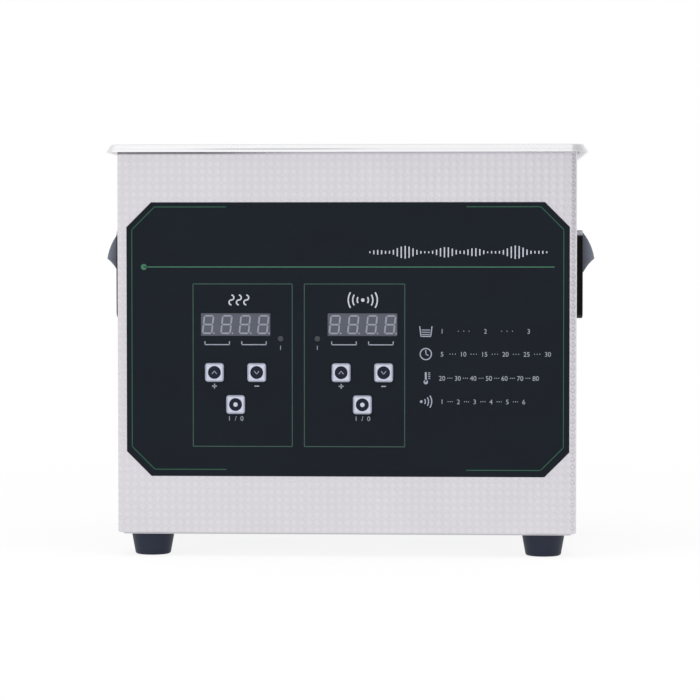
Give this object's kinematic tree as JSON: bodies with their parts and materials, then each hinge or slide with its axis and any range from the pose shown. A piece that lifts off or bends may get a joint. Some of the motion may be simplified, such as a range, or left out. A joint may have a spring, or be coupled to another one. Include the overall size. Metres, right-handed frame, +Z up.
{
  "type": "ultrasonic cleaner",
  "caption": "Bench ultrasonic cleaner: embossed steel case with a drawn tank, control panel with displays and keys, hooded side handles, rubber feet and bolted transducers under the tank.",
  "frame": {"origin": "floor level under the middle of the case", "axes": "+X to the right seen from the front, +Y to the rear, +Z up"},
  "size_m": [0.269, 0.1692, 0.222],
  "materials": {
    "embossed_steel": "stainless sheet embossed with a fine grid of pads",
    "plain_steel": "plain stainless sheet",
    "tank_steel": "bright drawn stainless sheet",
    "seal_rubber": "pale silicone edging",
    "foot_rubber": "dark grey moulded rubber",
    "panel_black": "satin black printed panel",
    "display_grey": "grey display face, unlit",
    "lamp_lens": "smoked lens, unlit",
    "key_grey": "pale grey moulded cap",
    "handle_black": "fine textured black moulding",
    "screw_steel": "bright plated steel",
    "board_green": "green circuit board",
    "aluminium": "turned or extruded aluminium",
    "piezo_ceramic": "fired ceramic",
    "brass": "plain brass",
    "mass_steel": "turned steel",
    "heater_silicone": "red silicone sheet",
    "cutout_brown": "brown phenolic moulding",
    "component_black": "black moulded housing",
    "rocker_black": "glossy black rocker",
    "ferrite": "dark grey ferrite",
    "copper_winding": "lacquered copper wire",
    "capacitor_sleeve": "dark blue shrink sleeve",
    "fuse_glass": "clear glass tube"
  },
  "bodies": {
    "cleaner": {"case_wrap": "embossed_steel", "rear_panel": "plain_steel", "rear_panel_screws": "screw_steel", "base_plate": "plain_steel", "base_screws": "screw_steel", "front_left_foot": "foot_rubber", "front_right_foot": "foot_rubber", "rear_left_foot": "foot_rubber", "rear_right_foot": "foot_rubber", "foot_screws": "screw_steel", "foot_nuts": "screw_steel", "tank": "tank_steel", "rim_seal": "seal_rubber", "control_panel": "panel_black", "heat_display": "display_grey", "time_display": "display_grey", "heat_lamp": "lamp_lens", "ultrasonic_lamp": "lamp_lens", "tact_switches": "component_black", "control_board": "board_green", "control_board_spacers": "brass", "control_board_screws": "screw_steel", "left_handle": "handle_black", "right_handle": "handle_black", "handle_screws": "screw_steel", "transducer_front_masses": "aluminium", "piezo_rings": "piezo_ceramic", "electrode_plates": "brass", "transducer_back_masses": "mass_steel", "transducer_bolts": "screw_steel", "heater_pad": "heater_silicone", "thermal_cutout": "cutout_brown", "temperature_probe": "brass", "generator_board": "board_green", "board_pillars": "brass", "board_screws": "screw_steel", "heat_sink": "aluminium", "power_transistors": "component_black", "transformer_core": "ferrite", "transformer_coil": "copper_winding", "tuning_coil": "copper_winding", "filter_capacitors": "capacitor_sleeve", "mains_fuse": "fuse_glass", "fuse_clips": "brass", "fan_frame": "component_black", "fan_screws": "screw_steel", "power_inlet": "component_black", "inlet_pins": "brass", "inlet_screws": "screw_steel", "switch_body": "component_black"},
    "temperature_up_key": {"temperature_up_key": "key_grey"},
    "temperature_down_key": {"temperature_down_key": "key_grey"},
    "heat_power_key": {"heat_power_key": "key_grey"},
    "time_up_key": {"time_up_key": "key_grey"},
    "time_down_key": {"time_down_key": "key_grey"},
    "ultrasonic_power_key": {"ultrasonic_power_key": "key_grey"},
    "fan_rotor": {"fan_rotor": "component_black"},
    "switch_rocker": {"switch_rocker": "rocker_black"}
  },
  "joints": [
    {"name": "temperature_up_key_press", "type": "slide", "parent": "cleaner", "child": "temperature_up_key", "axis": [0, 1, 0], "range_m": [0, 0.0005], "stiffness_N_per_m": 2500, "springref_m": -0.0002},
    {"name": "temperature_down_key_press", "type": "slide", "parent": "cleaner", "child": "temperature_down_key", "axis": [0, 1, 0], "range_m": [0, 0.0005], "stiffness_N_per_m": 2500, "springref_m": -0.0002},
    {"name": "heat_power_key_press", "type": "slide", "parent": "cleaner", "child": "heat_power_key", "axis": [0, 1, 0], "range_m": [0, 0.0005], "stiffness_N_per_m": 2500, "springref_m": -0.0002},
    {"name": "time_up_key_press", "type": "slide", "parent": "cleaner", "child": "time_up_key", "axis": [0, 1, 0], "range_m": [0, 0.0005], "stiffness_N_per_m": 2500, "springref_m": -0.0002},
    {"name": "time_down_key_press", "type": "slide", "parent": "cleaner", "child": "time_down_key", "axis": [0, 1, 0], "range_m": [0, 0.0005], "stiffness_N_per_m": 2500, "springref_m": -0.0002},
    {"name": "ultrasonic_power_key_press", "type": "slide", "parent": "cleaner", "child": "ultrasonic_power_key", "axis": [0, 1, 0], "range_m": [0, 0.0005], "stiffness_N_per_m": 2500, "springref_m": -0.0002},
    {"name": "rocker_tilt", "type": "hinge", "parent": "cleaner", "child": "switch_rocker", "pos_m": [0.07, 0.076, 0.085], "axis": [1, 0, 0], "range_deg": [0, 22]},
    {"name": "fan_spin", "type": "hinge", "parent": "cleaner", "child": "fan_rotor", "pos_m": [-0.07, 0.0694, 0.065], "axis": [0, 1, 0], "continuous": true}
  ]
}
